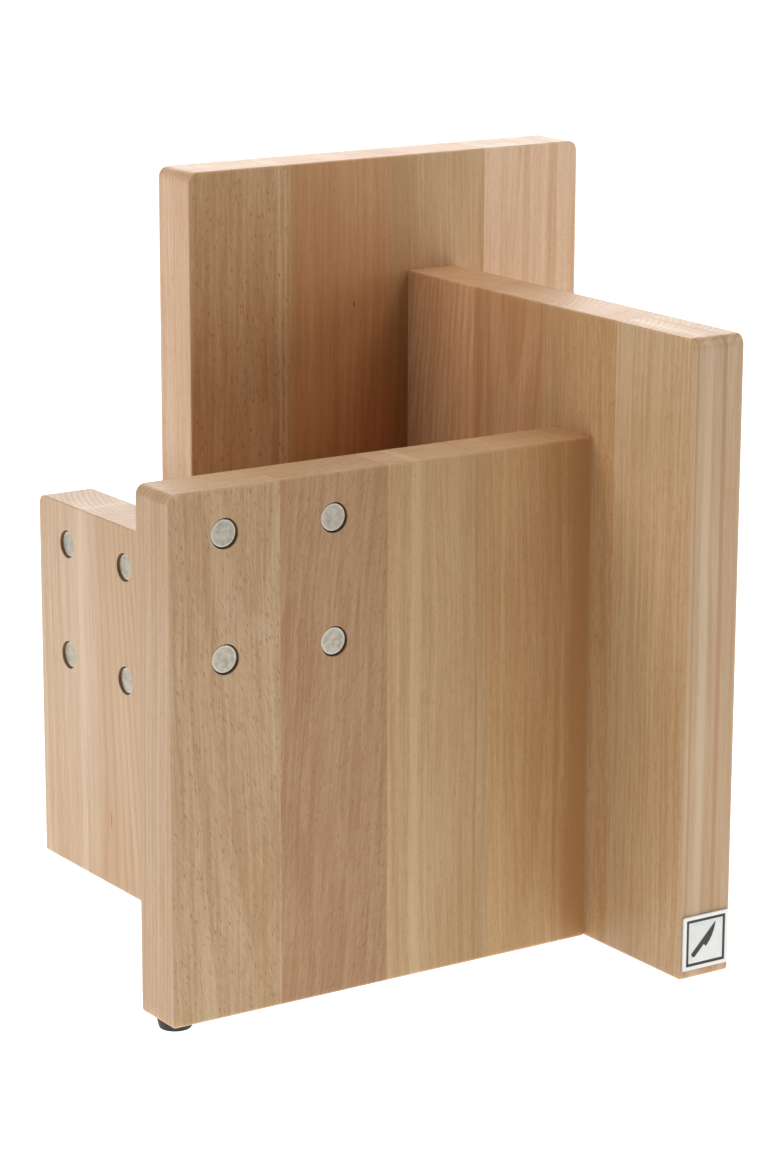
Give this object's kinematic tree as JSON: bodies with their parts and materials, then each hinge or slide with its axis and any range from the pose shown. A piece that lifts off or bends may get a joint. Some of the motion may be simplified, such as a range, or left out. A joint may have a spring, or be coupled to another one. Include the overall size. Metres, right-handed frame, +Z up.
{
  "type": "magnetic knife block",
  "caption": "Free-standing magnetic knife block: upright beech boards of stepped heights in a pinwheel round a square open well, with disc magnets in the outer faces.",
  "frame": {"origin": "centre of the square well, on the surface that the feet stand on", "axes": "+Z up; -Y towards the front board's outer face; the right board's badge end also faces -Y"},
  "size_m": [0.29, 0.291, 0.319],
  "materials": {
    "beech": "light steamed beech, fine sanded and oiled, satin",
    "dowel_beech": "raw beech dowel rod",
    "nickel": "nickel-plated magnet, lightly smudged",
    "rubber": "black moulded rubber",
    "badge_metal": "pale satin metal",
    "badge_enamel": "dark enamel fill"
  },
  "bodies": {
    "root": {"front_stave_1": "beech", "front_stave_2": "beech", "front_stave_3": "beech", "front_stave_4": "beech", "right_stave_1": "beech", "right_stave_2": "beech", "right_stave_3": "beech", "right_stave_4": "beech", "back_stave_1": "beech", "back_stave_2": "beech", "back_stave_3": "beech", "back_stave_4": "beech", "left_stave_1": "beech", "left_stave_2": "beech", "left_stave_3": "beech", "left_stave_4": "beech", "front_magnet_1": "nickel", "front_magnet_2": "nickel", "front_magnet_3": "nickel", "front_magnet_4": "nickel", "right_magnet_1": "nickel", "right_magnet_2": "nickel", "right_magnet_3": "nickel", "right_magnet_4": "nickel", "back_magnet_1": "nickel", "back_magnet_2": "nickel", "back_magnet_3": "nickel", "back_magnet_4": "nickel", "left_magnet_1": "nickel", "left_magnet_2": "nickel", "left_magnet_3": "nickel", "left_magnet_4": "nickel", "front_joint_dowels": "dowel_beech", "right_joint_dowels": "dowel_beech", "back_joint_dowels": "dowel_beech", "left_joint_dowels": "dowel_beech", "front_foot": "rubber", "right_foot": "rubber", "back_foot": "rubber", "left_foot": "rubber", "badge_plate": "badge_metal", "badge_inlay": "badge_enamel"}
  },
  "joints": []
}
